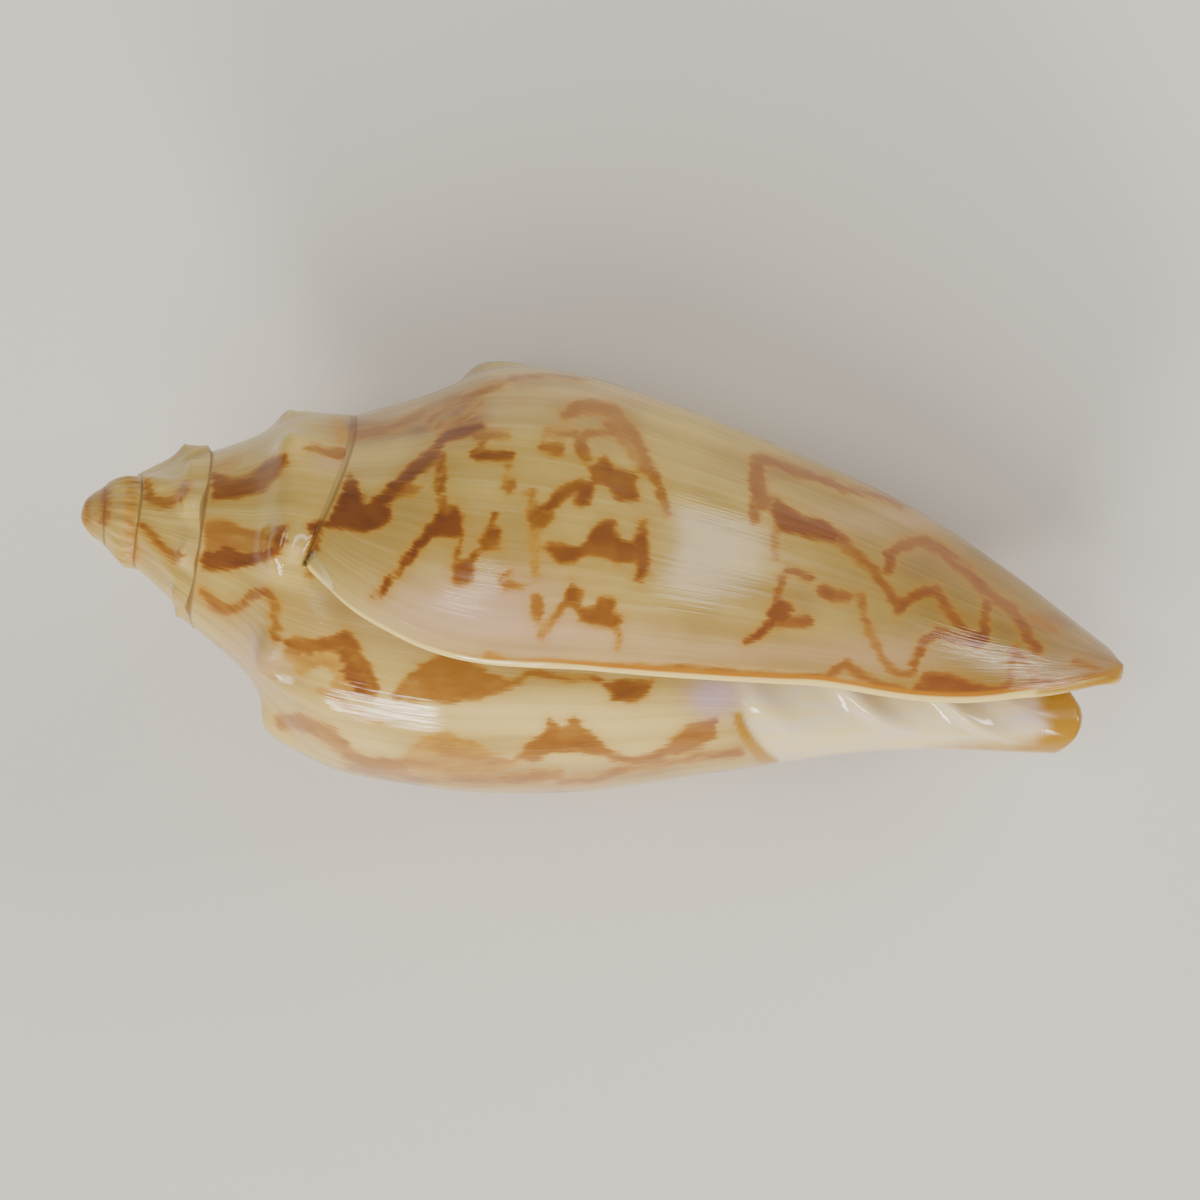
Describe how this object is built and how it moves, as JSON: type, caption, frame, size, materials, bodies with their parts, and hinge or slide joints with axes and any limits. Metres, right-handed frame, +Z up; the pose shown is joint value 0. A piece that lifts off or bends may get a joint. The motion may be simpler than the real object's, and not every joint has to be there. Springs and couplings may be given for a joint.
{
  "type": "volute shell",
  "caption": "Glossy spiral sea shell with a knobbed shoulder, a long narrow mouth and brown zigzag bands on cream.",
  "frame": {"origin": "bottom centre of the part's box, as it lies on a flat surface on its far side", "axes": "+X along the length from the pointed tip to the open front end, +Z up, +Y towards the back of the shell, away from the mouth"},
  "size_m": [0.091, 0.038, 0.037],
  "materials": {
    "glossy_shell": "Natural aragonite with a porcelain gloss, cream to tan with brown zigzag bands, white and mauve inside the mouth."
  },
  "bodies": {
    "root": {"shell": "glossy_shell"}
  },
  "joints": []
}
